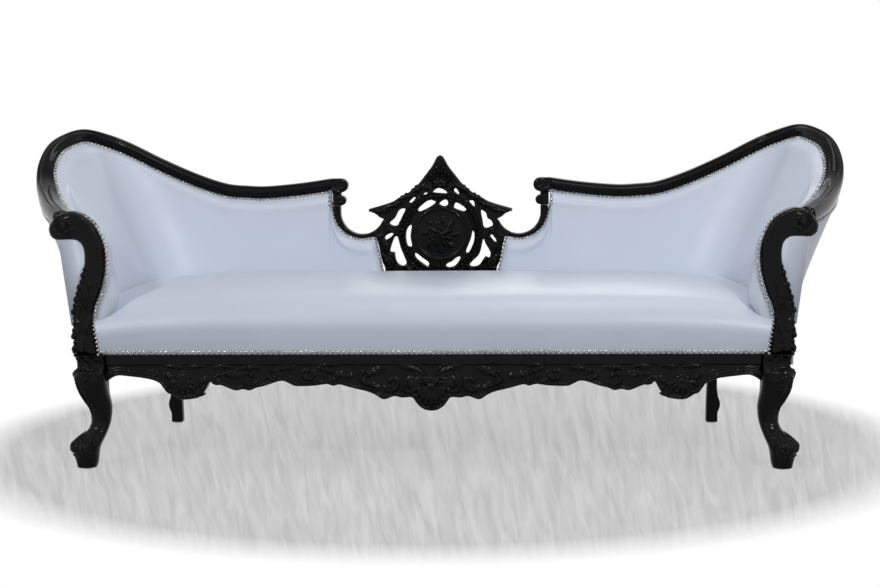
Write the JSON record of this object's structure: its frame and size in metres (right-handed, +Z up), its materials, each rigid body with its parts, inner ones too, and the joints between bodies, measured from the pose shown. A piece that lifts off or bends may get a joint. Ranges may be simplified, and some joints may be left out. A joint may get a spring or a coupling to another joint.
{
  "type": "settee",
  "caption": "Symmetrical double-ended settee: carved wooden frame with raised ears, dipped back, pierced centre crest, cabriole legs and smooth leather upholstery.",
  "frame": {"origin": "on the floor, midway between the ears and midway between the toes and the backs of the rear legs", "axes": "+X to the sitter's left along the settee's length, -Y the way a sitter faces, +Z up"},
  "size_m": [2.2078, 0.72, 0.868],
  "materials": {
    "lacquer": "gloss black lacquer on carved hardwood",
    "leather": "smooth pale blue-white leather, semi-gloss",
    "beech": "bare beech, hidden frame",
    "webbing": "jute webbing",
    "hessian": "woven hessian",
    "cloth": "black dust cover cloth",
    "steel": "plain steel glides"
  },
  "bodies": {
    "root": {"right_front_leg": "lacquer", "left_front_leg": "lacquer", "right_arm_post": "lacquer", "left_arm_post": "lacquer", "right_front_glide": "steel", "left_front_glide": "steel", "right_rear_glide": "steel", "left_rear_glide": "steel", "right_terminal_scroll": "lacquer", "left_terminal_scroll": "lacquer", "right_top_rail": "lacquer", "left_top_rail": "lacquer", "right_crest_arm": "lacquer", "left_crest_arm": "lacquer", "right_rear_leg": "lacquer", "left_rear_leg": "lacquer", "right_side_seat_rail": "lacquer", "left_side_seat_rail": "lacquer", "right_front_corner_block": "beech", "left_front_corner_block": "beech", "right_rear_corner_block": "beech", "left_rear_corner_block": "beech", "right_seat_stretcher": "beech", "left_seat_stretcher": "beech", "right_inner_stile": "beech", "left_inner_stile": "beech", "right_ear_post": "beech", "left_ear_post": "beech", "right_outside_back": "leather", "left_outside_back": "leather", "right_outside_arm": "leather", "left_outside_arm": "leather", "right_inside_back": "leather", "left_inside_back": "leather", "right_inside_arm_pad": "leather", "left_inside_arm_pad": "leather", "front_seat_rail": "lacquer", "crest": "lacquer", "crest_medallion": "lacquer", "rear_seat_rail": "lacquer", "lower_back_rail": "beech", "centre_back_post": "beech", "webbing": "webbing", "seat_deck": "hessian", "dust_cover": "cloth", "centre_back_panel": "leather", "seat_cushion": "leather"}
  },
  "joints": []
}
